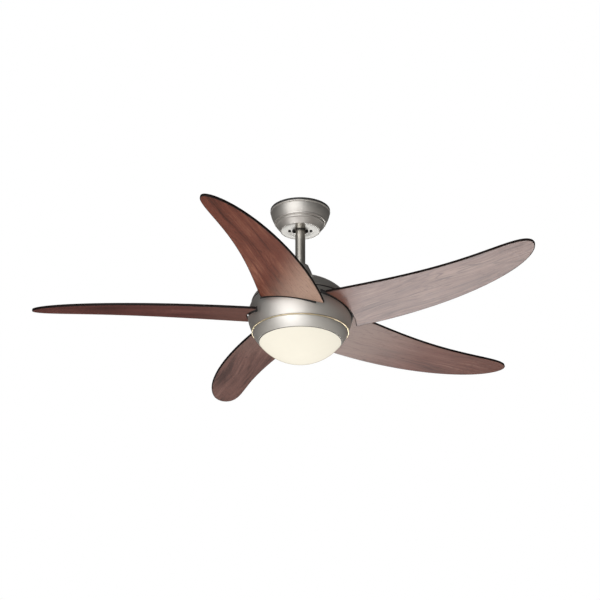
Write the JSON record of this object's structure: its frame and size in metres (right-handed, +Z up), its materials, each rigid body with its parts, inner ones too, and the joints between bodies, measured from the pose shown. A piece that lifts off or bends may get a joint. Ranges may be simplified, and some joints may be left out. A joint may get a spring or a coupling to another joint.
{
  "type": "ceiling fan with light",
  "caption": "Ceiling fan: bowl canopy, ball-hung downrod, domed motor housing, curved pitched wooden blades and an opal glass light.",
  "frame": {"origin": "centre of the ceiling bracket's flat top face, which lies against the ceiling; the fan hangs below it at negative Z", "axes": "+Z straight up out of the ceiling face and along the downrod; +X through the two canopy screws; +Y away from the side that is seen first"},
  "size_m": [1.2173, 1.2759, 0.4154],
  "materials": {
    "satin_nickel": "satin nickel, slightly warm, fine turned grain",
    "zinc_steel": "zinc plated steel, semi bright",
    "dark_steel": "blackened steel, semi matt",
    "cast_alloy": "die cast alloy, as cast",
    "black_plastic": "moulded black plastic, matt",
    "grey_nylon": "moulded grey nylon, satin",
    "white_plastic": "moulded white plastic, semi gloss",
    "copper_wire": "enamelled copper winding, glossy",
    "pale_gold": "pale gold plated, polished",
    "walnut_veneer": "walnut veneer on board, satin lacquer, dark edges",
    "opal_glass": "opal glass, softly lit from inside, cream"
  },
  "bodies": {
    "mount": {"ceiling_bracket": "zinc_steel", "canopy": "satin_nickel", "canopy_gasket": "black_plastic", "canopy_base_plate": "satin_nickel", "canopy_screw_1": "dark_steel", "canopy_screw_2": "dark_steel", "receiver": "black_plastic", "terminal_block": "white_plastic"},
    "hanging": {"hanger_ball": "grey_nylon", "ball_pin": "zinc_steel", "downrod": "satin_nickel", "rod_coupling": "cast_alloy", "clevis_pin": "zinc_steel", "clevis_clip": "zinc_steel", "coupling_cover": "satin_nickel", "upper_housing": "satin_nickel", "motor_shaft": "zinc_steel", "stator_core": "dark_steel", "winding_upper": "copper_wire", "winding_lower": "copper_wire", "bearing_upper": "zinc_steel", "bearing_lower": "zinc_steel", "light_pan": "zinc_steel", "shaft_nut": "zinc_steel", "light_fitter": "satin_nickel", "trim_ring": "pale_gold", "lamp_holder_1": "white_plastic", "lamp_holder_2": "white_plastic", "bulb_1": "opal_glass", "bulb_2": "opal_glass", "capacitor": "black_plastic"},
    "rotor": {"rotor_case_upper": "cast_alloy", "rotor_case_lower": "cast_alloy", "rotor_ring": "dark_steel", "turning_shell": "satin_nickel", "blade_iron_1": "satin_nickel", "blade_iron_2": "satin_nickel", "blade_iron_3": "satin_nickel", "blade_iron_4": "satin_nickel", "blade_iron_5": "satin_nickel", "blade_1": "walnut_veneer", "blade_2": "walnut_veneer", "blade_3": "walnut_veneer", "blade_4": "walnut_veneer", "blade_5": "walnut_veneer", "blade_screw_1a": "zinc_steel", "blade_screw_1b": "zinc_steel", "blade_screw_2a": "zinc_steel", "blade_screw_2b": "zinc_steel", "blade_screw_3a": "zinc_steel", "blade_screw_3b": "zinc_steel", "blade_screw_4a": "zinc_steel", "blade_screw_4b": "zinc_steel", "blade_screw_5a": "zinc_steel", "blade_screw_5b": "zinc_steel"},
    "shade": {"glass_shade": "opal_glass"}
  },
  "joints": [
    {"name": "hanger_swing", "type": "hinge", "parent": "mount", "child": "hanging", "pos_m": [0, 0, -0.0315], "axis": [0, 1, 0], "range_deg": [-12, 12]},
    {"name": "rotor_spin", "type": "hinge", "parent": "hanging", "child": "rotor", "pos_m": [0, 0, -0.2962], "axis": [0, 0, 1], "continuous": true},
    {"name": "shade_twist", "type": "hinge", "parent": "hanging", "child": "shade", "pos_m": [0, 0, -0.3644], "axis": [0, 0, -1], "range_deg": [0, 30]}
  ]
}
